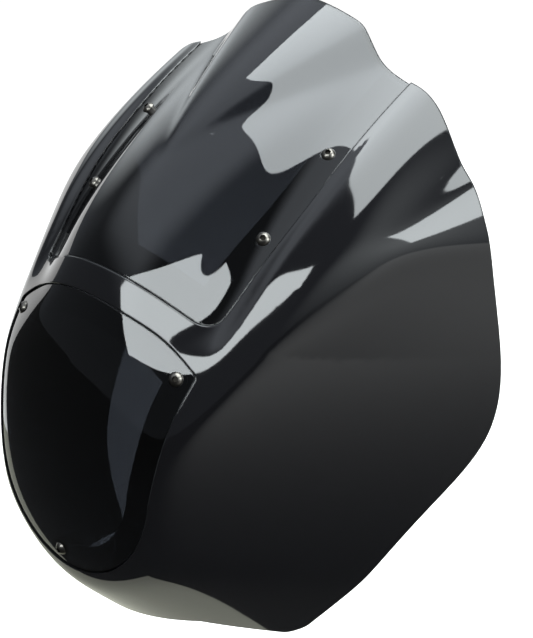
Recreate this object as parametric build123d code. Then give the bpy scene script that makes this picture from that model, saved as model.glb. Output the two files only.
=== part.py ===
from build123d import *
from math import exp, hypot, sqrt, tanh
import os

# Motorcycle quarter fairing with a smoked windshield and a smoked headlight cover.
# Millimetres. The origin is the middle of the four fork-bracket bolts, on the plane of the boss faces.
# X runs to the rider's left, -Y is the way the motorcycle faces and Z is up.

# Sheet thicknesses and fits
SHELL = 4.0                 # moulded shell wall
SHEET = 3.0                 # windshield and headlight cover
SHEET_SINK = 1.2            # sheet's outer face below the shell's skin
EDGE_GAP = 1.0              # gap round a sheet in its recess
WALL = 4.0                  # side wall of a recess
NUT_FLANGE = 1.5            # well nut's flange, between the sheet and the recess floor
SEAT = SHEET_SINK + SHEET + NUT_FLANGE     # recess floor below the skin
BED = 0.15                  # depth a flat face beds into a curved one
SCREEN_LEDGE = 24.0         # recess floor left round the windshield opening
COVER_LEDGE = 19.0          # recess floor left round the headlight opening

# Nose: the face that carries the headlight cover, with its side walls
NOSE_Y = -95.4
NOSE_Z = -75.0              # height where the nose is farthest forward
NOSE_CURVE = 0.0013         # how fast the centre line falls back above and below it
FACE_CURVE = 0.0010         # bow of the face from side to side
WALL_X = 100.2              # half width where the face turns into the side wall, at the origin's height
WALL_FLARE = 0.08           # how much that half width grows with height
WALL_SLOPE = 1.97           # run back of the side wall for each millimetre outwards
WALL_SOFT = 15.0

# Screen: the leaning face above the nose
SCREEN_Y = -52.5
SCREEN_Z = 121.0
SCREEN_SLOPE = 0.78         # run back for each millimetre of height at the windshield's foot
SCREEN_CURL = 0.0058        # how fast the lean grows with height
ROOF_SLOPE = 0.69           # run back of its two flanks for each millimetre outwards
ROOF_SOFT = 22.0
SHOULDER_X = 146.0          # half width where a flank turns down into the side
SHOULDER_Z = 165.0
SHOULDER_LEAN = -0.18
SHOULDER_SLOPE = 2.0
SHOULDER_SOFT = 10.0
KNEE_SOFT = 9.5             # rounding between nose and screen

# Chin: the face that turns under below the headlight cover
CHIN_Y = -101.6
CHIN_Z = -107.0
CHIN_SLOPE = 0.87
CHIN_CURVE = 0.006
CHIN_SOFT = 11.0

# Hollow along each side of the windshield, and the roll of the shell beside it
HOLLOW_DEPTH = 13.0
HOLLOW_X = 90.0
HOLLOW_SPREAD = 18.5
HOLLOW_Z = 160.0
HOLLOW_RISE = 58.0
HOLLOW_FOOT = 86.0          # height below which it dies away
HOLLOW_FOOT_SOFT = 10.0
ROLL_X = 116.5              # half width where the roll rises out of the hollow, near the top
ROLL_Z = 190.0              # height below which it draws in
ROLL_LEAN = 0.14
ROLL_BEND = 20.0
ROLL_SOFT = 5.0

# Side flute: a raised area behind a valley that runs from its tip up to the rim
FLUTE_RISE = 20.0
FLUTE_TIP = (127.5, 79.0)
FLUTE_END = (169.0, 172.0)
FLUTE_EDGE = 6.0            # softness of the valley's wall
FLUTE_FADE = 38.0           # how far out the flute dies away

# Windshield, in a plane that leans back: across, and up the slope from the origin
SCREEN_LEAN = 35.0          # plane's angle above the horizontal
SCREEN_FOOT = 39.0
SCREEN_FOOT_HALF = 92.5
SCREEN_FOOT_RADIUS = 16.0
SCREEN_KNEE = 140.0         # height where its sides turn upright
SCREEN_KNEE_HALF = 106.0
SCREEN_KNEE_RADIUS = 400.0
SCREEN_TOP = 345.0          # past the rim, which trims it
SCREEN_TOP_HALF = 109.2
BUBBLE_RISE = 12.5          # raised middle of the windshield at its top edge
BUBBLE_FOOT = 125.0
BUBBLE_TOP = 290.0
BUBBLE_HALF = 70.0

# Headlight cover, in a plane that leans back a little: across, and up
COVER_LEAN = 10.3
COVER_RADIUS = 85.0         # round foot
COVER_CENTRE = -34.0
COVER_CORNER = (96.0, 59.5)
COVER_CROWN = 93.5
COVER_CORNER_RADIUS = 5.0

# Fasteners
SCREEN_SCREWS = [(91.5, 111.0), (95.0, 189.5)]
COVER_SCREWS = [(86.0, 56.5), (-86.0, 56.5), (0.0, -107.5)]
HEAD_D = 10.5
HEAD_H = 3.3
SOCKET_AF = 4.0
SOCKET_DEPTH = 2.0
THREAD_D = 6.0
SCREW_L = 18.0
SCREW_HOLE_D = 6.6
THREAD_GAP = 0.05           # left round a thread in its insert
NUT_FLANGE_D = 15.0
NUT_BODY_D = 12.0
NUT_BODY_L = 13.0
NUT_BORE_D = 6.4
NUT_END = 1.0               # rubber left past the insert
INSERT_D = 9.0
INSERT_L = 8.0

# Fork-bracket bosses
BOSS_D = 22.0
BOSS_ACROSS = 224.0
BOSS_UP = 90.0
BOSS_L = 110.0              # past the skin, which trims it
BOSS_INSERT_D = 10.0
BOSS_INSERT_L = 14.0
BOSS_HOLE_L = 24.0          # room for a bolt's end

# Trimmed edge of the shell in side view
RIM = [(184.0, 292.0), (172.0, 233.0), (159.0, 168.0), (168.0, 50.0)]
RIM += [(161.0, -24.0), (121.0, -75.0), (77.0, -134.0), (57.0, -186.0)]
JOWL_FOOT = (44.0, -197.0)
CHIN_EDGE = (-19.0, -165.0)

# Extent of the modelled skin, past every trimmed edge
SKIN_HALF = 236.0
SKIN_LOW = -230.0
SKIN_HIGH = 306.0
SKIN_MARGIN = 20.0
SKIN_STEP_ACROSS = 7.0
SKIN_STEP_UP = 14.0

# Blocks that cut through the skin start this far above the leaning planes
SCREEN_BLOCK_LOW = 60.0
COVER_BLOCK_LOW = 15.0
BLOCK = 150.0

SCREEN_PLANE = Plane.XY.rotated((SCREEN_LEAN, 0, 0))
COVER_PLANE = Plane.XY.rotated((90.0 - COVER_LEAN, 0, 0))


def soft_max(a, b, soft):
    """The larger of two values, with the change-over rounded."""
    return 0.5 * (a + b + sqrt((a - b) ** 2 + soft ** 2))


def soft_hinge(run, slope, soft):
    """A line that starts to rise at zero run, with the corner rounded."""
    return 0.5 * slope * (run + sqrt(run ** 2 + soft ** 2))


def nose_y(x, z):
    wall = abs(x) - WALL_X - WALL_FLARE * z
    return NOSE_Y + NOSE_CURVE * (z - NOSE_Z) ** 2 + FACE_CURVE * x ** 2 + soft_hinge(wall, WALL_SLOPE, WALL_SOFT)


def screen_y(x, z):
    up = z - SCREEN_Z
    centre = SCREEN_Y + SCREEN_SLOPE * up + SCREEN_CURL * max(up, 0.0) ** 2
    flank = ROOF_SLOPE * (hypot(x, ROOF_SOFT) - ROOF_SOFT)
    shoulder = abs(x) - SHOULDER_X - SHOULDER_LEAN * (z - SHOULDER_Z)
    return centre + flank + soft_hinge(shoulder, SHOULDER_SLOPE, SHOULDER_SOFT)


def chin_y(x, z):
    return CHIN_Y + CHIN_SLOPE * (CHIN_Z - z) + CHIN_CURVE * x ** 2


def flute(x, z):
    """How far the side flute stands forward of the plain side."""
    across = FLUTE_END[0] - FLUTE_TIP[0]
    up = FLUTE_END[1] - FLUTE_TIP[1]
    length = hypot(across, up)
    right = abs(x) - FLUTE_TIP[0]
    rise = z - FLUTE_TIP[1]
    along = (right * across + rise * up) / length ** 2
    out = (right * up - rise * across) / length
    step = 0.5 * (1.0 + tanh(0.5 * out / FLUTE_EDGE))
    fade = exp(-max(out, 0.0) ** 2 / (2 * FLUTE_FADE ** 2))
    return FLUTE_RISE * min(max(along, 0.0), 1.3) * step * fade


def hollow(x, z):
    """How far the skin lies back along the side of the windshield."""
    roll = ROLL_X - soft_hinge(ROLL_Z - z, ROLL_LEAN, ROLL_BEND)
    across = exp(-0.5 * ((abs(x) - HOLLOW_X) / HOLLOW_SPREAD) ** 2) * 0.5 * (1.0 - tanh((abs(x) - roll) / ROLL_SOFT))
    foot = 0.5 * (1.0 + tanh((z - HOLLOW_FOOT) / HOLLOW_FOOT_SOFT))
    return HOLLOW_DEPTH * across * foot * exp(-0.5 * ((z - HOLLOW_Z) / HOLLOW_RISE) ** 2)


def skin(x, z):
    """A point of the shell's outer skin."""
    face = soft_max(nose_y(x, z), screen_y(x, z), KNEE_SOFT) + hollow(x, z)
    return Vector(x, soft_max(face, chin_y(x, z), CHIN_SOFT) - flute(x, z), z)


def screen_skin(x, z):
    """A point of the skin with the windshield's raised middle."""
    base = skin(x, z)
    up_slope = SCREEN_PLANE.to_local_coords(base).Y
    grown = min(max((up_slope - BUBBLE_FOOT) / (BUBBLE_TOP - BUBBLE_FOOT), 0.0), 1.2)
    edge = (abs(x) - BUBBLE_HALF * grown) / (4.0 + 8.0 * grown)
    return base + SCREEN_PLANE.z_dir * (BUBBLE_RISE * grown * 0.5 * (1.0 - tanh(edge)))


def inward(surface, x, z):
    """The unit normal that points into the shell."""
    step = 0.5
    across = surface(x + step, z) - surface(x - step, z)
    up = surface(x, z + step) - surface(x, z - step)
    return up.cross(across).normalized() if up.cross(across).Y > 0 else across.cross(up).normalized()


def skin_face(surface, depth):
    """A surface that lies this deep under the skin, past every trimmed edge, lofted through upright curves."""
    across = round(2 * SKIN_HALF / SKIN_STEP_ACROSS)
    up = round((SKIN_HIGH - SKIN_LOW) / SKIN_STEP_UP)
    steps = [j / up for j in range(up + 1)]
    curves = []
    for i in range(across + 1):
        x = SKIN_HALF * (2 * i / across - 1)
        heights = [SKIN_LOW + (SKIN_HIGH - SKIN_LOW) * step for step in steps]
        points = [surface(x, z) + Vector(0, depth / inward(surface, x, z).Y, 0) for z in heights]
        curves.append(Wire([Edge.make_spline(points, parameters=steps)]))
    return Shell.make_loft(curves).face()


def sides(body, face):
    """The two main pieces of a body that a skin face cuts through, the front one first."""
    pieces = sorted(body.split(face, keep=Keep.ALL), key=lambda piece: piece.volume)
    return sorted(pieces[-2:], key=lambda piece: piece.center().Y)


def before(body, face):
    return sides(body, face)[0]


def behind(body, face):
    return sides(body, face)[1]


def side_outline():
    """The shell's outline in side view, as a block right across it."""
    rear = Spline(*RIM)
    foot = ThreePointArc(RIM[-1], (52.5, -194.0), JOWL_FOOT)
    front = Polyline(JOWL_FOOT, CHIN_EDGE, (-160.0, CHIN_EDGE[1]), (-160.0, RIM[0][1]), RIM[0])
    return extrude(Plane.YZ * make_face([rear, foot, front]), amount=260, both=True)


def screen_block(grow):
    """The windshield's outline, grown outwards, as a block right through the shell."""
    half = [(SCREEN_FOOT_HALF, SCREEN_FOOT), (SCREEN_KNEE_HALF, SCREEN_KNEE), (SCREEN_TOP_HALF, SCREEN_TOP)]
    whole = make_face(Polyline(*half, *[(-x, y) for x, y in reversed(half)], close=True))
    whole = fillet(whole.vertices().group_by(Axis.Y)[1], SCREEN_KNEE_RADIUS)
    whole = fillet(whole.vertices().group_by(Axis.Y)[0], SCREEN_FOOT_RADIUS)
    return extrude(SCREEN_PLANE.offset(SCREEN_BLOCK_LOW) * offset(whole, grow), amount=BLOCK)


def cover_block(grow):
    """The headlight cover's outline, grown outwards, as a block right through the nose."""
    foot = Pos(0, COVER_CENTRE) * Circle(COVER_RADIUS)
    cx, cy = COVER_CORNER
    crown = make_face([
        ThreePointArc((-cx, cy), (0, COVER_CROWN), (cx, cy)),
        Polyline((cx, cy), (COVER_RADIUS, COVER_CENTRE), (-COVER_RADIUS, COVER_CENTRE), (-cx, cy)),
    ])
    corners = crown.vertices().group_by(Axis.Y)[-1]
    whole = foot + fillet(corners, COVER_CORNER_RADIUS)
    return extrude(COVER_PLANE.offset(COVER_BLOCK_LOW) * offset(whole, grow), amount=BLOCK)


def on_skin(plane, at):
    """The place on the skin straight above a point of a leaning plane, with its outward direction."""
    x = at[0]
    low, high = SKIN_LOW, SKIN_HIGH
    for _ in range(40):
        z = 0.5 * (low + high)
        if plane.to_local_coords(skin(x, z)).Y < at[1]:
            low = z
        else:
            high = z
    return Plane(skin(x, z), z_dir=inward(skin, x, z) * -1)


def cylinder(diameter, top, length):
    """A cylinder down from a height above the skin."""
    return Pos(0, 0, top) * Cylinder(diameter / 2, length, align=(Align.CENTER, Align.CENTER, Align.MAX))


def button_screw():
    """A button-head socket screw, with its seat under the sheet's outer face."""
    seat = -SHEET_SINK - BED
    dome_r = ((HEAD_D / 2) ** 2 + HEAD_H ** 2) / (2 * HEAD_H)
    dome = Pos(0, 0, seat + HEAD_H - dome_r) * Sphere(dome_r)
    head = cylinder(HEAD_D, seat + HEAD_H, HEAD_H) & dome
    hexagon = RegularPolygon(SOCKET_AF / 2, 6, major_radius=False)
    socket = Pos(0, 0, seat + HEAD_H - SOCKET_DEPTH) * extrude(hexagon, HEAD_H)
    return head + cylinder(THREAD_D, seat, SCREW_L) - socket


def nut_insert(bore=THREAD_D + 2 * THREAD_GAP):
    """The threaded brass sleeve near the end of a well nut; without a bore, the space it takes."""
    top = -SEAT - NUT_BODY_L + INSERT_L + NUT_END
    sleeve = cylinder(INSERT_D, top, INSERT_L)
    return sleeve - cylinder(bore, top, INSERT_L) if bore else sleeve


def well_nut(solid=False):
    """A rubber well nut: its flange lies between sheet and shell, and its body hangs behind."""
    top = -SHEET_SINK - SHEET + BED
    outside = cylinder(NUT_FLANGE_D, top, NUT_FLANGE + 2 * BED) + cylinder(NUT_BODY_D, top, SEAT + top + NUT_BODY_L)
    if solid:
        return outside
    return outside - cylinder(NUT_BORE_D, top, 2 * NUT_BODY_L) - nut_insert(bore=0)


def sheet(outline_block, surface):
    """A bent sheet between two depths under a skin, bored and bedded for its screws."""
    body = behind(outline_block, skin_face(surface, SHEET_SINK))
    return before(body, skin_face(surface, SHEET_SINK + SHEET))


def fixed(body, places):
    """A sheet with a hole, a flat for the head and a flat for the nut's flange at each screw."""
    for place in places:
        body -= place * cylinder(SCREW_HOLE_D, SHEET, 4 * SHEET)
        body -= place * cylinder(HEAD_D, SHEET, SHEET + SHEET_SINK + BED)
        body -= place * well_nut(solid=True)
    return body


os.makedirs("parts", exist_ok=True)

outline = side_outline()
depth = 420.0
middle = (SKIN_LOW + SKIN_HIGH) / 2
space = Pos(0, 60, middle) * Box(2 * (SKIN_HALF - SKIN_MARGIN), depth, SKIN_HIGH - SKIN_LOW - 2 * SKIN_MARGIN)
floor_face = skin_face(skin, SEAT)

screen_places = [on_skin(SCREEN_PLANE, (side * x, y)) for x, y in SCREEN_SCREWS for side in (1, -1)]
cover_places = [on_skin(COVER_PLANE, at) for at in COVER_SCREWS]
screw_places = screen_places + cover_places
boss_places = [Pos(x * BOSS_ACROSS / 2, 0, z * BOSS_UP / 2) * Rot(-90, 0, 0) for x in (1, -1) for z in (1, -1)]

# Shell: a thin skin, a stepped recess round each opening, and four bosses inside
shell = behind(outline, skin_face(skin, 0.0))
inside = behind(space, skin_face(skin, SHELL))
for recess in (screen_block(EDGE_GAP + WALL), cover_block(EDGE_GAP + WALL)):
    inside -= recess
shell -= inside
shell -= behind(space, skin_face(skin, SEAT + SHELL))
for recess in (screen_block(EDGE_GAP), cover_block(EDGE_GAP)):
    shell -= before(recess, floor_face)
shell -= screen_block(-SCREEN_LEDGE)
shell -= cover_block(-COVER_LEDGE)
boss_root = skin_face(skin, SHELL / 2)
for place in boss_places:
    shell += behind(place * cylinder(BOSS_D, 0, BOSS_L), boss_root)
for place in boss_places:
    shell -= place * cylinder(BOSS_INSERT_D, 0, BOSS_INSERT_L)
    shell -= place * cylinder(SCREW_HOLE_D, 0, BOSS_HOLE_L)
for place in screw_places:
    shell -= place * well_nut(solid=True)

windshield = fixed(sheet(screen_block(0) & outline, screen_skin), screen_places)
cover = fixed(sheet(cover_block(0), skin), cover_places)

mount_insert = cylinder(BOSS_INSERT_D, 0, BOSS_INSERT_L) - cylinder(THREAD_D + 2 * THREAD_GAP, 0, BOSS_INSERT_L)

parts = {
    "fairing_shell": shell,
    "windshield": windshield,
    "headlight_cover": cover,
    "button_screws": Compound([place * button_screw() for place in screw_places]),
    "well_nuts": Compound([place * well_nut() for place in screw_places]),
    "nut_inserts": Compound([place * nut_insert() for place in screw_places]),
    "mount_inserts": Compound([place * mount_insert for place in boss_places]),
}
for name, body in parts.items():
    export_step(body, f"parts/{name}.step")
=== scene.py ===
import math

import bmesh
import bpy
import numpy as np
from mathutils import Matrix, Vector

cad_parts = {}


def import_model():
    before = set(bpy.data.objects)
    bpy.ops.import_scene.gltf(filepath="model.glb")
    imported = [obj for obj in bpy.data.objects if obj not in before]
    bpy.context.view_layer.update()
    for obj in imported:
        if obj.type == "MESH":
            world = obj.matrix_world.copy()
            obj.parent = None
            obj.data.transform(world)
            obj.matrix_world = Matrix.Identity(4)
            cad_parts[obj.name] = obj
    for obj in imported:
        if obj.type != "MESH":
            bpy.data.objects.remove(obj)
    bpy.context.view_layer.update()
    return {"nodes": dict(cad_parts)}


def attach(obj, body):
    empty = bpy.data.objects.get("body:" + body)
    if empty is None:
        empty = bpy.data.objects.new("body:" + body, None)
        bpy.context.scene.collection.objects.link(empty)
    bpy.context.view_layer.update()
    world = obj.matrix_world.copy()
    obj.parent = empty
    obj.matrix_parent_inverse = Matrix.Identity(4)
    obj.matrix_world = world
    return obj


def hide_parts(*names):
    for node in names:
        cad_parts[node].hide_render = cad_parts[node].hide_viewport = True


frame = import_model()

MM = 0.001

# Skin of the fairing, in millimetres: the same form as the moulded shell
NOSE_Y, NOSE_Z, NOSE_CURVE, FACE_CURVE = -95.4, -75.0, 0.0013, 0.0010
WALL_X, WALL_FLARE, WALL_SLOPE, WALL_SOFT = 100.2, 0.08, 1.97, 15.0
SCREEN_Y, SCREEN_Z, SCREEN_SLOPE, SCREEN_CURL = -52.5, 121.0, 0.78, 0.0058
ROOF_SLOPE, ROOF_SOFT = 0.69, 22.0
SHOULDER_X, SHOULDER_Z, SHOULDER_LEAN, SHOULDER_SLOPE, SHOULDER_SOFT = 146.0, 165.0, -0.18, 2.0, 10.0
KNEE_SOFT = 9.5
CHIN_Y, CHIN_Z, CHIN_SLOPE, CHIN_CURVE, CHIN_SOFT = -101.6, -107.0, 0.87, 0.006, 11.0
HOLLOW_DEPTH, HOLLOW_X, HOLLOW_SPREAD = 13.0, 90.0, 18.5
HOLLOW_Z, HOLLOW_RISE, HOLLOW_FOOT, HOLLOW_FOOT_SOFT = 160.0, 58.0, 86.0, 10.0
ROLL_X, ROLL_Z, ROLL_LEAN, ROLL_BEND, ROLL_SOFT = 116.5, 190.0, 0.14, 20.0, 5.0
FLUTE_RISE, FLUTE_TIP, FLUTE_END, FLUTE_EDGE, FLUTE_FADE = 20.0, (127.5, 79.0), (169.0, 172.0), 6.0, 38.0
FLUTE_OVERRUN = 1.3
SCREEN_LEAN = math.radians(35.0)
BUBBLE_RISE, BUBBLE_FOOT, BUBBLE_TOP, BUBBLE_HALF = 12.5, 125.0, 290.0, 70.0
BUBBLE_EDGE, BUBBLE_EDGE_GROWTH, BUBBLE_OVERRUN, BUBBLE_ROUNDS = 4.0, 8.0, 1.2, 12
COVER_LEAN = math.radians(10.3)

# Depths of the moulded and bent faces under that skin
SHELL, SHEET, SHEET_SINK, NUT_FLANGE = 4.0, 3.0, 1.2, 1.5
SEAT = SHEET_SINK + SHEET + NUT_FLANGE

# Finishing of the CAD pieces: lengths in millimetres, turns as cosines to the skin's outward normal
SKIN_REACH, SKIN_TURN = 0.8, 0.8    # a face lies on the skin when it is this close to it and turned along it
BACK_TURN, RECESS_ROOM = -0.3, 0.3  # a face is hidden when it looks backward or lies this far behind the recesses
FACE_SIZE, SPLIT_ROUNDS = 6.0, 6    # longest edge of a skin face
MERGE = 0.002                       # corners this close are one
SHARP = math.radians(35)

# Surface detail of the finishes, in millimetres
EDGE_RADIUS, WAVE_LENGTH, WAVE_HEIGHT, GRAIN_SIZE, GRAIN_HEIGHT = 1.6, 70.0, 0.12, 1.5, 0.05

# Button-head screws: across, and up the slope of the windshield or the headlight cover
SCREEN_SCREWS = [(91.5, 111.0), (95.0, 189.5)]
COVER_SCREWS = [(86.0, 56.5), (-86.0, 56.5), (0.0, -107.5)]
HEAD_D, HEAD_H, SOCKET_AF, SOCKET_DEPTH, THREAD_D, SCREW_L, BED = 10.5, 3.3, 4.0, 2.0, 6.0, 18.0, 0.15
SKIN_LOW, SKIN_HIGH, HALVINGS = -230.0, 306.0, 40
HEAD_SIDES, HEX_SIDES, THREAD_SIDES = 64, 6, 32
BLANK_ROOM = 1.1                    # the blank that cuts the dome flat is this much wider than the head
SOCKET_ROOM, SOCKET_HAIR, WALL_TURN = 1.01, 0.05, 0.1   # limits within which a face belongs to the socket
HEAD_SHARP = math.radians(30)
TURN_SEED = 4

# Camera, from the photograph: place and aim in metres, focal length in picture heights
CAMERA_PLACE = Vector((0.571, -0.479, 0.417))
CAMERA_AIM = Vector((-0.615, 0.662, -0.428))
FOCAL_HEIGHTS = 1100 / 638
SENSOR, NEAREST = 24.0, 0.01

# Studio, in metres
MIDDLE = Vector((0.0, 0.05, 0.05))  # what the softboxes face
FLOOR_Z, FLOOR_HALF, FLOOR_GLOW = -0.45, 20.0, 0.75
CARD_LIFT = 0.02
CARD_FRONT, CARD_SIDE, GREY_CARD_SIDE = -0.2, 0.085, -0.9   # edges at which the floor cards meet
ROOM_LIGHT = 0.3
CURTAIN_R, CURTAIN_DETAIL = 25.0, 4


def soft_max(a, b, soft):
    return 0.5 * (a + b + np.sqrt((a - b) ** 2 + soft ** 2))


def soft_hinge(run, slope, soft):
    return 0.5 * slope * (run + np.sqrt(run ** 2 + soft ** 2))


def flute(x, z):
    """How far the side flute stands forward of the plain side."""
    across, up = FLUTE_END[0] - FLUTE_TIP[0], FLUTE_END[1] - FLUTE_TIP[1]
    length = math.hypot(across, up)
    right, rise = np.abs(x) - FLUTE_TIP[0], z - FLUTE_TIP[1]
    along = (right * across + rise * up) / length ** 2
    out = (right * up - rise * across) / length
    step = 0.5 * (1.0 + np.tanh(0.5 * out / FLUTE_EDGE))
    fade = np.exp(-np.maximum(out, 0.0) ** 2 / (2 * FLUTE_FADE ** 2))
    return FLUTE_RISE * np.clip(along, 0.0, FLUTE_OVERRUN) * step * fade


def hollow(x, z):
    """How far the skin lies back along the side of the windshield."""
    roll = ROLL_X - soft_hinge(ROLL_Z - z, ROLL_LEAN, ROLL_BEND)
    across = np.exp(-0.5 * ((np.abs(x) - HOLLOW_X) / HOLLOW_SPREAD) ** 2)
    across = across * 0.5 * (1.0 - np.tanh((np.abs(x) - roll) / ROLL_SOFT))
    foot = 0.5 * (1.0 + np.tanh((z - HOLLOW_FOOT) / HOLLOW_FOOT_SOFT))
    return HOLLOW_DEPTH * across * foot * np.exp(-0.5 * ((z - HOLLOW_Z) / HOLLOW_RISE) ** 2)


def shell_skin(x, z):
    """Depth along Y of the shell's outer skin."""
    wall = np.abs(x) - WALL_X - WALL_FLARE * z
    nose = NOSE_Y + NOSE_CURVE * (z - NOSE_Z) ** 2 + FACE_CURVE * x ** 2 + soft_hinge(wall, WALL_SLOPE, WALL_SOFT)
    up = z - SCREEN_Z
    flank = ROOF_SLOPE * (np.hypot(x, ROOF_SOFT) - ROOF_SOFT)
    shoulder = np.abs(x) - SHOULDER_X - SHOULDER_LEAN * (z - SHOULDER_Z)
    screen = SCREEN_Y + SCREEN_SLOPE * up + SCREEN_CURL * np.maximum(up, 0.0) ** 2
    screen = screen + flank + soft_hinge(shoulder, SHOULDER_SLOPE, SHOULDER_SOFT)
    chin = CHIN_Y + CHIN_SLOPE * (CHIN_Z - z) + CHIN_CURVE * x ** 2
    face = soft_max(nose, screen, KNEE_SOFT) + hollow(x, z)
    return soft_max(face, chin, CHIN_SOFT) - flute(x, z)


def bubble(x, z):
    """Rise of the windshield's middle, square to the screen's lean."""
    up_slope = shell_skin(x, z) * math.cos(SCREEN_LEAN) + z * math.sin(SCREEN_LEAN)
    grown = np.clip((up_slope - BUBBLE_FOOT) / (BUBBLE_TOP - BUBBLE_FOOT), 0.0, BUBBLE_OVERRUN)
    edge = (np.abs(x) - BUBBLE_HALF * grown) / (BUBBLE_EDGE + BUBBLE_EDGE_GROWTH * grown)
    return BUBBLE_RISE * grown * 0.5 * (1.0 - np.tanh(edge))


def screen_skin(x, z):
    """Depth along Y of the skin with the windshield's raised middle."""
    foot = z
    for _ in range(BUBBLE_ROUNDS):
        foot = z - bubble(x, foot) * math.cos(SCREEN_LEAN)
    return shell_skin(x, foot) - bubble(x, foot) * math.sin(SCREEN_LEAN)


def slopes(surface, x, z, step=0.5):
    across = (surface(x + step, z) - surface(x - step, z)) / (2 * step)
    up = (surface(x, z + step) - surface(x, z - step)) / (2 * step)
    return across, up


def under(surface, depth):
    """The surface that lies this deep under a skin."""
    def face(x, z):
        across, up = slopes(surface, x, z)
        return surface(x, z) + depth * np.sqrt(1.0 + across ** 2 + up ** 2)
    return face


def outward(surface, x, z):
    """Unit normals of a skin, to the front."""
    across, up = slopes(surface, x, z)
    normals = np.stack([across, -np.ones_like(across), up], axis=-1)
    return normals / np.linalg.norm(normals, axis=-1, keepdims=True)


def finished(name, node, surface, depths, materials, behind=False):
    """A copy of a CAD piece with its skin faces split finely and laid on the skin's own curve. The second material
    goes on the hidden side, or else on the edges between the skin faces."""
    bm = bmesh.new()
    bm.from_mesh(frame["nodes"][node].data)
    bmesh.ops.remove_doubles(bm, verts=bm.verts, dist=MERGE * MM)
    for _ in range(SPLIT_ROUNDS):
        long_edges = [edge for edge in bm.edges if edge.calc_length() > FACE_SIZE * MM]
        if not long_edges:
            break
        bmesh.ops.subdivide_edges(bm, edges=long_edges, cuts=1)
        bmesh.ops.triangulate(bm, faces=bm.faces)
    bm.normal_update()
    points = np.array([vert.co for vert in bm.verts]) / MM
    corners = np.array([[vert.index for vert in face.verts] for face in bm.faces])
    facing = np.array([face.normal for face in bm.faces])
    mesh = bpy.data.meshes.new(name)
    bm.to_mesh(mesh)
    bm.free()
    normals = np.zeros((len(corners), 3, 3))
    on_skin = np.zeros(len(corners), bool)
    placed = points.copy()
    x, z = points[:, 0], points[:, 2]
    for depth in depths:
        face = under(surface, depth)
        lie = face(x, z)
        out = outward(face, x, z)
        close = np.abs(points[:, 1] - lie) * -out[:, 1] < SKIN_REACH
        along = np.einsum("ij,ij->i", facing, out[corners].mean(axis=1))
        found = close[corners].all(axis=1) & (np.abs(along) > SKIN_TURN)
        used = np.unique(corners[found])
        placed[used, 1] = lie[used]
        normals[found] = out[corners[found]] * np.sign(along[found])[:, None, None]
        on_skin |= found
    mesh.vertices.foreach_set("co", (placed * MM).astype(np.float32).ravel())
    mesh.polygons.foreach_set("use_smooth", np.ones(len(corners), bool))
    mesh.set_sharp_from_angle(angle=SHARP)
    for finish in materials:
        mesh.materials.append(finish)
    second = ~on_skin
    if behind:
        middles = points[corners].mean(axis=1)
        out = outward(surface, middles[:, 0], middles[:, 2])
        deep = (middles[:, 1] - surface(middles[:, 0], middles[:, 2])) * -out[:, 1]
        backward = np.einsum("ij,ij->i", facing, out) < BACK_TURN
        second = backward | (deep > SEAT + RECESS_ROOM)
    mesh.polygons.foreach_set("material_index", second.astype(np.int32))
    mesh.normals_split_custom_set(normals.reshape(-1, 3))
    mesh.update()
    piece = bpy.data.objects.new(name, mesh)
    bpy.context.scene.collection.objects.link(piece)
    return piece


def linear(hex_colour):
    """An sRGB hex colour as linear red, green, blue and alpha."""
    parts = [int(hex_colour[i:i + 2], 16) / 255 for i in (1, 3, 5)]
    return [c / 12.92 if c <= 0.04045 else ((c + 0.055) / 1.055) ** 2.4 for c in parts] + [1.0]


def add(tree, kind, settings=None, links=None):
    """A node with its settings, and its inputs set to values or linked to other nodes' outputs."""
    node = tree.nodes.new(kind)
    for name, value in (settings or {}).items():
        setattr(node, name, value)
    for socket, value in (links or {}).items():
        if isinstance(value, bpy.types.NodeSocket):
            tree.links.new(value, node.inputs[socket])
        else:
            node.inputs[socket].default_value = value
    return node


def material(name, settings, bump=None):
    """A Principled material, with an optional surface bump made by its own function."""
    made = bpy.data.materials.new(name)
    made.use_nodes = True
    tree = made.node_tree
    tree.nodes.clear()
    shader = add(tree, "ShaderNodeBsdfPrincipled", links=settings)
    if bump:
        tree.links.new(bump(tree), shader.inputs["Normal"])
    output = add(tree, "ShaderNodeOutputMaterial")
    tree.links.new(shader.outputs["BSDF"], output.inputs["Surface"])
    return made


def worn_edges(tree):
    """Rounded edges, as polishing leaves them."""
    return add(tree, "ShaderNodeBevel", {"samples": 6}, {"Radius": EDGE_RADIUS * MM}).outputs["Normal"]


def moulded_waves(tree):
    """The slow waviness of a big moulding, and its rounded edges."""
    place = add(tree, "ShaderNodeTexCoord")
    waves = add(tree, "ShaderNodeTexNoise", links={
        "Vector": place.outputs["Object"], "Scale": 1.0 / (WAVE_LENGTH * MM), "Detail": 1.0, "Roughness": 0.4})
    bump = add(tree, "ShaderNodeBump", links={
        "Height": waves.outputs["Fac"], "Strength": 1.0, "Distance": WAVE_HEIGHT * MM, "Normal": worn_edges(tree)})
    return bump.outputs["Normal"]


def mould_grain(tree):
    """The fine leathery grain of a mould, drawn coarser than it is so that it shows."""
    place = add(tree, "ShaderNodeTexCoord")
    grain = add(tree, "ShaderNodeTexNoise", links={
        "Vector": place.outputs["Object"], "Scale": 1.0 / (GRAIN_SIZE * MM), "Detail": 2.0})
    bump = add(tree, "ShaderNodeBump", links={
        "Height": grain.outputs["Fac"], "Strength": 0.5, "Distance": GRAIN_HEIGHT * MM})
    return bump.outputs["Normal"]


# Polished ABS, black all through: it mirrors the room weakly and shows almost no colour of its own
gloss_black_abs = material("gloss_black_abs", {
    "Base Color": linear("#0b0b0d"), "Roughness": 0.05, "IOR": 1.53}, moulded_waves)

# The same ABS on the hidden side, as it leaves the mould: a satin grain that spreads the light
satin_black_abs = material("satin_black_abs", {
    "Base Color": linear("#161617"), "Roughness": 0.42, "IOR": 1.53}, mould_grain)

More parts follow.
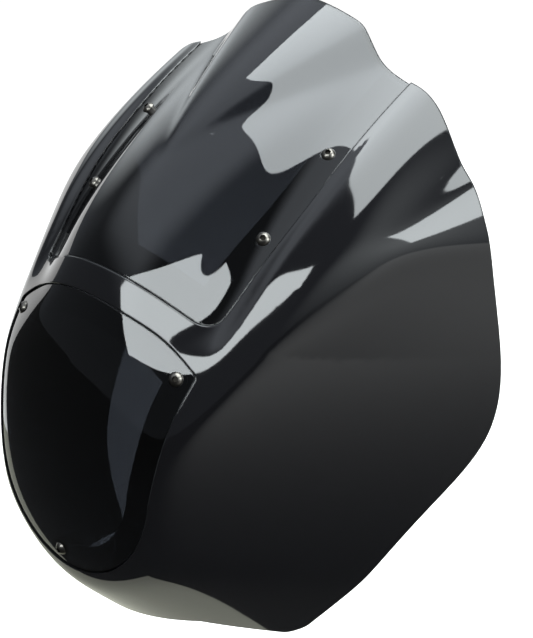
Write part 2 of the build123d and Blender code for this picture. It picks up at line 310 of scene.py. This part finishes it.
# Smoked polycarbonate sheet: a polished face that lets a little light through, tinted grey
smoked_polycarbonate = material("smoked_polycarbonate", {
    "Base Color": linear("#181a1e"), "Roughness": 0.02, "IOR": 1.5, "Transmission Weight": 1.0}, worn_edges)

# The sheet's sawn and sanded edge: lighter and dull
polycarbonate_cut_edge = material("polycarbonate_cut_edge", {
    "Base Color": linear("#3a3c3f"), "Roughness": 0.35, "IOR": 1.5}, worn_edges)

# Stainless steel, cold headed and tumbled: grey with a soft shine, written dark because the softboxes are strong
stainless_steel = material("stainless_steel", {
    "Base Color": linear("#66635e"), "Metallic": 1.0, "Roughness": 0.28})

# The same steel in the sockets, darker for painted shade inside the socket, and rough
socket_shade_steel = material("socket_shade_steel", {"Base Color": linear("#24221f"), "Metallic": 1.0, "Roughness": 0.5})

# EPDM rubber, moulded: black and dull
epdm_rubber = material("epdm_rubber", {"Base Color": linear("#1a1a1b"), "Roughness": 0.75, "IOR": 1.5})

# Brass, turned: yellow and fairly bright
turned_brass = material("turned_brass", {"Base Color": linear("#c9a45c"), "Metallic": 1.0, "Roughness": 0.28})


def screw_places():
    """Where each screw stands on the skin, and its outward direction."""
    places = []
    leaning = [((side * x, up), SCREEN_LEAN) for x, up in SCREEN_SCREWS for side in (1, -1)]
    leaning += [(at, math.pi / 2 - COVER_LEAN) for at in COVER_SCREWS]
    for (x, up), lean in leaning:
        low, high = SKIN_LOW, SKIN_HIGH
        for _ in range(HALVINGS):
            z = 0.5 * (low + high)
            slope = float(shell_skin(x, z)) * math.cos(lean) + z * math.sin(lean)
            low, high = (z, high) if slope < up else (low, z)
        place = np.array([x, float(shell_skin(x, z)), z])
        places.append((place, outward(shell_skin, np.float64(x), np.float64(z))))
    return places


def screw_tree():
    """A node tree that stands a button-head socket screw on each point of a mesh."""
    tree = bpy.data.node_groups.new("button_screws", "GeometryNodeTree")
    tree.interface.new_socket("Geometry", in_out="INPUT", socket_type="NodeSocketGeometry")
    for name in ("Head Diameter", "Head Height", "Socket Width", "Socket Depth", "Thread Diameter", "Length"):
        tree.interface.new_socket(name, in_out="INPUT", socket_type="NodeSocketFloat")
    for name in ("Head Steel", "Socket Shade Steel"):
        tree.interface.new_socket(name, in_out="INPUT", socket_type="NodeSocketMaterial")
    tree.interface.new_socket("Geometry", in_out="OUTPUT", socket_type="NodeSocketGeometry")
    given = add(tree, "NodeGroupInput").outputs

    plus, minus, times, divided = ({"operation": kind} for kind in ("ADD", "SUBTRACT", "MULTIPLY", "DIVIDE"))
    power, less, more = ({"operation": kind} for kind in ("POWER", "LESS_THAN", "GREATER_THAN"))

    # Radii and heights, up from the seat
    head_r = add(tree, "ShaderNodeMath", times, {0: given["Head Diameter"], 1: 0.5}).outputs[0]
    across = add(tree, "ShaderNodeMath", power, {0: head_r, 1: 2.0}).outputs[0]
    up = add(tree, "ShaderNodeMath", power, {0: given["Head Height"], 1: 2.0}).outputs[0]
    squares = add(tree, "ShaderNodeMath", plus, {0: across, 1: up}).outputs[0]
    clear_z = add(tree, "ShaderNodeMath", times, {0: given["Head Height"], 1: 2.0}).outputs[0]
    dome_r = add(tree, "ShaderNodeMath", divided, {0: squares, 1: clear_z}).outputs[0]
    dome_z = add(tree, "ShaderNodeMath", minus, {0: given["Head Height"], 1: dome_r}).outputs[0]
    blank_r = add(tree, "ShaderNodeMath", times, {0: head_r, 1: BLANK_ROOM}).outputs[0]
    corner_r = add(tree, "ShaderNodeMath", divided, {0: given["Socket Width"], 1: math.sqrt(3.0)}).outputs[0]
    socket_z = add(tree, "ShaderNodeMath", minus, {0: given["Head Height"], 1: given["Socket Depth"]}).outputs[0]
    thread_r = add(tree, "ShaderNodeMath", times, {0: given["Thread Diameter"], 1: 0.5}).outputs[0]
    tip_z = add(tree, "ShaderNodeMath", times, {0: given["Length"], 1: -1.0}).outputs[0]

    # Upright columns: the blank that cuts the dome flat, the socket and the thread
    columns = []
    for sides, radius, low, high in ((HEAD_SIDES, blank_r, 0.0, clear_z), (HEX_SIDES, corner_r, socket_z, clear_z),
                                     (THREAD_SIDES, thread_r, tip_z, 0.0)):
        depth = add(tree, "ShaderNodeMath", minus, {0: high, 1: low})
        ends = add(tree, "ShaderNodeMath", plus, {0: low, 1: high})
        middle = add(tree, "ShaderNodeMath", times, {0: ends.outputs[0], 1: 0.5})
        column = add(tree, "GeometryNodeMeshCylinder", links={
            "Vertices": sides, "Radius": radius, "Depth": depth.outputs[0]})
        lift = add(tree, "ShaderNodeCombineXYZ", links={"Z": middle.outputs[0]})
        columns.append(add(tree, "GeometryNodeTransform", links={
            "Geometry": column.outputs["Mesh"], "Translation": lift.outputs[0]}).outputs[0])
    blank, socket, thread = columns

    # A domed head with its socket, on the thread
    ball = add(tree, "GeometryNodeMeshUVSphere", links={
        "Segments": HEAD_SIDES, "Rings": HEAD_SIDES, "Radius": dome_r})
    lift = add(tree, "ShaderNodeCombineXYZ", links={"Z": dome_z})
    dome = add(tree, "GeometryNodeTransform", links={
        "Geometry": ball.outputs["Mesh"], "Translation": lift.outputs[0]}).outputs[0]
    head = add(tree, "GeometryNodeMeshBoolean", {"operation": "INTERSECT", "solver": "EXACT"})
    tree.links.new(dome, head.inputs["Mesh 2"])
    tree.links.new(blank, head.inputs["Mesh 2"])
    socketed = add(tree, "GeometryNodeMeshBoolean", {"operation": "DIFFERENCE", "solver": "EXACT"}, {
        "Mesh 1": head.outputs["Mesh"], "Mesh 2": socket})
    screw = add(tree, "GeometryNodeJoinGeometry")
    tree.links.new(socketed.outputs["Mesh"], screw.inputs[0])
    tree.links.new(thread, screw.inputs[0])

    # The faces of the socket, which take the painted shade: its upright walls and its floor
    position = add(tree, "GeometryNodeInputPosition")
    at = add(tree, "ShaderNodeSeparateXYZ", links={"Vector": position.outputs[0]}).outputs
    normal = add(tree, "GeometryNodeInputNormal")
    facing = add(tree, "ShaderNodeSeparateXYZ", links={"Vector": normal.outputs[0]}).outputs
    x_squared = add(tree, "ShaderNodeMath", power, {0: at["X"], 1: 2.0}).outputs[0]
    y_squared = add(tree, "ShaderNodeMath", power, {0: at["Y"], 1: 2.0}).outputs[0]
    squares = add(tree, "ShaderNodeMath", plus, {0: x_squared, 1: y_squared}).outputs[0]
    from_axis = add(tree, "ShaderNodeMath", {"operation": "SQRT"}, {0: squares}).outputs[0]
    reach = add(tree, "ShaderNodeMath", times, {0: corner_r, 1: SOCKET_ROOM}).outputs[0]
    within = add(tree, "ShaderNodeMath", less, {0: from_axis, 1: reach}).outputs[0]
    steepness = add(tree, "ShaderNodeMath", {"operation": "ABSOLUTE"}, {0: facing["Z"]}).outputs[0]
    on_wall = add(tree, "ShaderNodeMath", less, {0: steepness, 1: WALL_TURN}).outputs[0]
    over_floor = add(tree, "ShaderNodeMath", plus, {0: socket_z, 1: SOCKET_HAIR * MM}).outputs[0]
    on_floor = add(tree, "ShaderNodeMath", less, {0: at["Z"], 1: over_floor}).outputs[0]
    under_floor = add(tree, "ShaderNodeMath", minus, {0: socket_z, 1: SOCKET_HAIR * MM}).outputs[0]
    not_below = add(tree, "ShaderNodeMath", more, {0: at["Z"], 1: under_floor}).outputs[0]
    either = add(tree, "ShaderNodeMath", {"operation": "MAXIMUM"}, {0: on_wall, 1: on_floor}).outputs[0]
    in_socket = add(tree, "ShaderNodeMath", times, {0: either, 1: within}).outputs[0]
    in_socket = add(tree, "ShaderNodeMath", times, {0: in_socket, 1: not_below}).outputs[0]
    marked = add(tree, "GeometryNodeStoreNamedAttribute", {"data_type": "BOOLEAN", "domain": "FACE"}, {
        "Geometry": screw.outputs[0], "Name": "in_socket", "Value": in_socket})

    # One screw on each point, each tightened to its own turn
    points = add(tree, "GeometryNodeMeshToPoints", links={"Mesh": given["Geometry"]})
    axis = add(tree, "GeometryNodeInputNamedAttribute", {"data_type": "FLOAT_VECTOR"}, {"Name": "outward"})
    upright = add(tree, "FunctionNodeAlignRotationToVector", {"axis": "Z"}, {"Vector": axis.outputs["Attribute"]})
    tightened = add(tree, "FunctionNodeRandomValue", {"data_type": "FLOAT"}, {"Seed": TURN_SEED})
    tightened.inputs[3].default_value = math.pi / 3
    spin = add(tree, "ShaderNodeCombineXYZ", links={"Z": tightened.outputs[1]})
    turned = add(tree, "FunctionNodeRotateRotation", {"rotation_space": "LOCAL"}, {"Rotation": upright.outputs[0]})
    tree.links.new(spin.outputs[0], turned.inputs["Rotate By"])
    placed = add(tree, "GeometryNodeInstanceOnPoints", links={
        "Points": points.outputs["Points"], "Instance": marked.outputs[0], "Rotation": turned.outputs[0]})
    real = add(tree, "GeometryNodeRealizeInstances", links={"Geometry": placed.outputs[0]})
    bright = add(tree, "GeometryNodeSetMaterial", links={
        "Geometry": real.outputs[0], "Material": given["Head Steel"]})
    # The socket faces get the darker steel: painted shade inside the socket
    socket_faces = add(tree, "GeometryNodeInputNamedAttribute", {"data_type": "BOOLEAN"}, {"Name": "in_socket"})
    dressed = add(tree, "GeometryNodeSetMaterial", links={
        "Geometry": bright.outputs[0], "Selection": socket_faces.outputs["Attribute"],
        "Material": given["Socket Shade Steel"]})
    output = add(tree, "NodeGroupOutput")
    tree.links.new(dressed.outputs[0], output.inputs[0])
    return tree


def button_screws():
    """The seven screws as one plain mesh."""
    places = screw_places()
    seats = [(place - out * (SHEET_SINK + BED)) * MM for place, out in places]
    mesh = bpy.data.meshes.new("screw_seats")
    mesh.from_pydata([tuple(seat) for seat in seats], [], [])
    outs = mesh.attributes.new("outward", "FLOAT_VECTOR", "POINT")
    outs.data.foreach_set("vector", np.array([out for _, out in places], np.float32).ravel())
    piece = bpy.data.objects.new("screw_seats", mesh)
    bpy.context.scene.collection.objects.link(piece)
    tree = screw_tree()
    modifier = piece.modifiers.new("button_screws", "NODES")
    modifier.node_group = tree
    sizes = {"Head Diameter": HEAD_D * MM, "Head Height": HEAD_H * MM, "Socket Width": SOCKET_AF * MM,
             "Socket Depth": SOCKET_DEPTH * MM, "Thread Diameter": THREAD_D * MM, "Length": SCREW_L * MM,
             "Head Steel": stainless_steel, "Socket Shade Steel": socket_shade_steel}
    for socket in tree.interface.items_tree:
        if socket.in_out == "INPUT" and socket.name in sizes:
            modifier[socket.identifier] = sizes[socket.name]
    view = bpy.context.evaluated_depsgraph_get()
    view.update()
    made = bpy.data.meshes.new_from_object(piece.evaluated_get(view))
    made.name = "button_screw_set"
    made.polygons.foreach_set("use_smooth", np.ones(len(made.polygons), bool))
    made.set_sharp_from_angle(angle=HEAD_SHARP)
    piece.modifiers.remove(modifier)
    bpy.data.objects.remove(piece)
    screws = bpy.data.objects.new("button_screw_set", made)
    bpy.context.scene.collection.objects.link(screws)
    return screws


def dress(node, finish):
    """A CAD piece whose shape is right, with its real finish."""
    mesh = frame["nodes"][node].data
    mesh.materials.clear()
    mesh.materials.append(finish)


shell = finished("gloss_shell", "fairing_shell", shell_skin, [0.0, SHELL, SEAT, SEAT + SHELL],
                 [gloss_black_abs, satin_black_abs], behind=True)
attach(shell, "root")
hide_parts("fairing_shell")

sheet_faces = [SHEET_SINK, SHEET_SINK + SHEET]
sheet_finish = [smoked_polycarbonate, polycarbonate_cut_edge]
windshield = finished("smoked_windshield", "windshield", screen_skin, sheet_faces, sheet_finish)
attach(windshield, "root")
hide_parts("windshield")

cover = finished("smoked_headlight_cover", "headlight_cover", shell_skin, sheet_faces, sheet_finish)
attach(cover, "root")
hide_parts("headlight_cover")

screws = button_screws()
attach(screws, "root")
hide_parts("button_screws")

dress("well_nuts", epdm_rubber)
dress("nut_inserts", turned_brass)
dress("mount_inserts", turned_brass)


def camera():
    """The photograph's view."""
    lens = bpy.data.cameras.new("camera")
    lens.sensor_fit = "VERTICAL"
    lens.sensor_height = SENSOR
    lens.lens = lens.sensor_height * FOCAL_HEIGHTS
    lens.clip_start = NEAREST
    seen = bpy.data.objects.new("camera", lens)
    seen.location = CAMERA_PLACE
    seen.rotation_euler = CAMERA_AIM.to_track_quat("-Z", "Y").to_euler()
    bpy.context.scene.collection.objects.link(seen)
    bpy.context.scene.camera = seen


def backdrop_seen(tree):
    """1 for the rays that should meet a white backdrop: straight to the eye, in the gloss and through the sheets."""
    rays = add(tree, "ShaderNodeLightPath")
    seen = add(tree, "ShaderNodeMath", {"operation": "ADD"}, {
        0: rays.outputs["Is Camera Ray"], 1: rays.outputs["Is Glossy Ray"]})
    return add(tree, "ShaderNodeMath", {"operation": "ADD", "use_clamp": True}, {
        0: seen.outputs[0], 1: rays.outputs["Is Transmission Ray"]}).outputs[0]


def level_sheet(name, low, high, z, finish):
    """The mesh of a level rectangle."""
    mesh = bpy.data.meshes.new(name)
    mesh.from_pydata([(low[0], low[1], z), (high[0], low[1], z), (high[0], high[1], z), (low[0], high[1], z)],
                     [], [(0, 1, 2, 3)])
    mesh.materials.append(finish)
    return mesh


def floor():
    """White paper that keeps the fairing's shadow."""
    paper = bpy.data.materials.new("white_paper")
    paper.use_nodes = True
    tree = paper.node_tree
    tree.nodes.clear()
    glow = add(tree, "ShaderNodeMath", {"operation": "MULTIPLY"}, {0: backdrop_seen(tree), 1: FLOOR_GLOW})
    shader = add(tree, "ShaderNodeBsdfPrincipled", links={
        "Base Color": linear("#f2f2f0"), "Roughness": 0.9, "Specular IOR Level": 0.0,
        "Emission Color": (1.0, 1.0, 1.0, 1.0), "Emission Strength": glow.outputs[0]})
    output = add(tree, "ShaderNodeOutputMaterial")
    tree.links.new(shader.outputs["BSDF"], output.inputs["Surface"])
    mesh = level_sheet("floor", (-FLOOR_HALF, -FLOOR_HALF), (FLOOR_HALF, FLOOR_HALF), FLOOR_Z, paper)
    ground = bpy.data.objects.new("floor", mesh)
    bpy.context.scene.collection.objects.link(ground)


def softbox(name, az, el, away, width, height, tilt, strength, soft=False):
    """A rectangular softbox that faces the fairing from a bearing: degrees round from the front to its left, and
    degrees up. Strength is how bright its face looks, where 1 is white. A soft one fades to its edges."""
    lamp = bpy.data.lights.new(name, "AREA")
    lamp.shape = "RECTANGLE"
    lamp.size, lamp.size_y = width, height
    lamp.energy = strength * math.pi * width * height
    lamp.color = linear("#f3fafc")[:3]
    if soft:
        lamp.use_nodes = True
        tree = lamp.node_tree
        place = add(tree, "ShaderNodeNewGeometry").outputs["Parametric"]
        from_middle = add(tree, "ShaderNodeVectorMath", {"operation": "DISTANCE"}, {0: place, 1: (0.5, 0.5, 0.0)})
        fade = add(tree, "ShaderNodeMapRange", {"interpolation_type": "SMOOTHSTEP"}, {
            "Value": from_middle.outputs["Value"], "From Min": 0.0, "From Max": 0.5, "To Min": 1.0, "To Max": 0.0})
        tree.links.new(fade.outputs[0], tree.nodes["Emission"].inputs["Strength"])
    az, el, tilt = math.radians(az), math.radians(el), math.radians(tilt)
    away_from = Vector((math.sin(az) * math.cos(el), -math.cos(az) * math.cos(el), math.sin(el)))
    level = Vector((math.cos(az), math.sin(az), 0.0))
    upright = away_from.cross(level)
    across = level * math.cos(tilt) + upright * math.sin(tilt)
    axes = Matrix((across, away_from.cross(across), away_from)).transposed()
    box = bpy.data.objects.new(name, lamp)
    box.matrix_world = Matrix.Translation(MIDDLE + away_from * away) @ axes.to_4x4()
    bpy.context.scene.collection.objects.link(box)


def gloss_only(name, mesh):
    """A stage piece that is seen only in the gloss."""
    piece = bpy.data.objects.new(name, mesh)
    piece.visible_camera = False
    piece.visible_transmission = False
    piece.visible_diffuse = False
    piece.visible_shadow = False
    bpy.context.scene.collection.objects.link(piece)


def graded_glow(name, colour, grades, dark, light):
    """A glowing stage finish that rises from dark to light along two axes at once."""
    made = bpy.data.materials.new(name)
    made.use_nodes = True
    made.cycles.emission_sampling = "NONE"
    tree = made.node_tree
    tree.nodes.clear()
    place = add(tree, "ShaderNodeTexCoord")
    at = add(tree, "ShaderNodeSeparateXYZ", links={"Vector": place.outputs["Object"]})
    one, other = (
        add(tree, "ShaderNodeMapRange", {"interpolation_type": "SMOOTHSTEP"}, {
            "Value": at.outputs[axis], "From Min": start, "From Max": end})
        for axis, (start, end) in grades.items())
    both = add(tree, "ShaderNodeMath", {"operation": "MULTIPLY"}, {0: one.outputs[0], 1: other.outputs[0]})
    level = add(tree, "ShaderNodeMapRange", links={"Value": both.outputs[0], "To Min": dark, "To Max": light})
    glow = add(tree, "ShaderNodeEmission", links={"Color": linear(colour), "Strength": level.outputs[0]})
    output = add(tree, "ShaderNodeOutputMaterial")
    tree.links.new(glow.outputs[0], output.inputs["Surface"])
    return made


def flag(name, low, high, finish):
    """A card that lies over the floor and is seen only in the gloss."""
    gloss_only(name, level_sheet(name, low, high, FLOOR_Z + CARD_LIFT, finish))


def world():
    """Soft grey light from all round, behind a white backdrop."""
    room = bpy.data.worlds.new("room")
    room.use_nodes = True
    tree = room.node_tree
    tree.nodes.clear()
    level = add(tree, "ShaderNodeMapRange", links={
        "Value": backdrop_seen(tree), "To Min": ROOM_LIGHT, "To Max": 1.0})
    grey = add(tree, "ShaderNodeBackground", links={"Color": (1.0, 1.0, 1.0, 1.0), "Strength": level.outputs[0]})
    output = add(tree, "ShaderNodeOutputWorld")
    tree.links.new(grey.outputs[0], output.inputs["Surface"])
    bpy.context.scene.world = room


def curtain():
    """A glowing dome round the studio, seen only in the gloss: dark, with painted light that makes its glow lighter
    above and on one side.
    """
    # Painted light: the dome's glow rises from dark to light upwards and towards one side
    curtain_glow = graded_glow("curtain", "#e8f0fa", {
        "X": (0.2 * CURTAIN_R, -0.1 * CURTAIN_R), "Z": (0.35 * CURTAIN_R, 0.85 * CURTAIN_R)}, dark=0.15, light=1.3)
    bm = bmesh.new()
    bmesh.ops.create_icosphere(bm, subdivisions=CURTAIN_DETAIL, radius=CURTAIN_R)
    mesh = bpy.data.meshes.new("curtain")
    bm.to_mesh(mesh)
    bm.free()
    mesh.materials.append(curtain_glow)
    gloss_only("curtain", mesh)


# Cards of the studio: a dull grey one, and a dark one that glows, with painted light that makes it lighter to the
# right of the fairing
grey_card = material("grey_card", {"Base Color": linear("#b4b2a4"), "Roughness": 1.0, "Specular IOR Level": 0.0})
# Painted light: a glowing card whose glow grows lighter to the right and towards the front
glowing_dark_card = graded_glow("glowing_dark_card", "#dfe1e0", {"X": (0.3, 2.0), "Y": (-1.5, 0.0)}, dark=0.06, light=1.2)

bpy.context.scene.view_settings.view_transform = "Standard"
camera()
floor()
world()
curtain()
softbox("overhead", az=156, el=71, away=1.5, width=1.55, height=1.24, tilt=8, strength=8.8)
softbox("front_bar", az=12, el=37, away=1.6, width=1.5, height=0.34, tilt=22, strength=11.5)
softbox("left_wall", az=-117, el=18, away=1.6, width=1.4, height=1.2, tilt=0, strength=1.4, soft=True)
softbox("right_wall", az=93, el=24, away=1.7, width=2.2, height=2.4, tilt=0, strength=1.7, soft=True)
softbox("right_rear", az=108, el=29, away=1.6, width=0.78, height=0.66, tilt=6, strength=10.0)
flag("front_flag", (-FLOOR_HALF, -FLOOR_HALF), (FLOOR_HALF, CARD_FRONT), glowing_dark_card)
flag("right_flag", (CARD_SIDE, CARD_FRONT), (FLOOR_HALF, FLOOR_HALF), glowing_dark_card)
flag("left_flag", (GREY_CARD_SIDE, CARD_FRONT), (CARD_SIDE, FLOOR_HALF), grey_card)
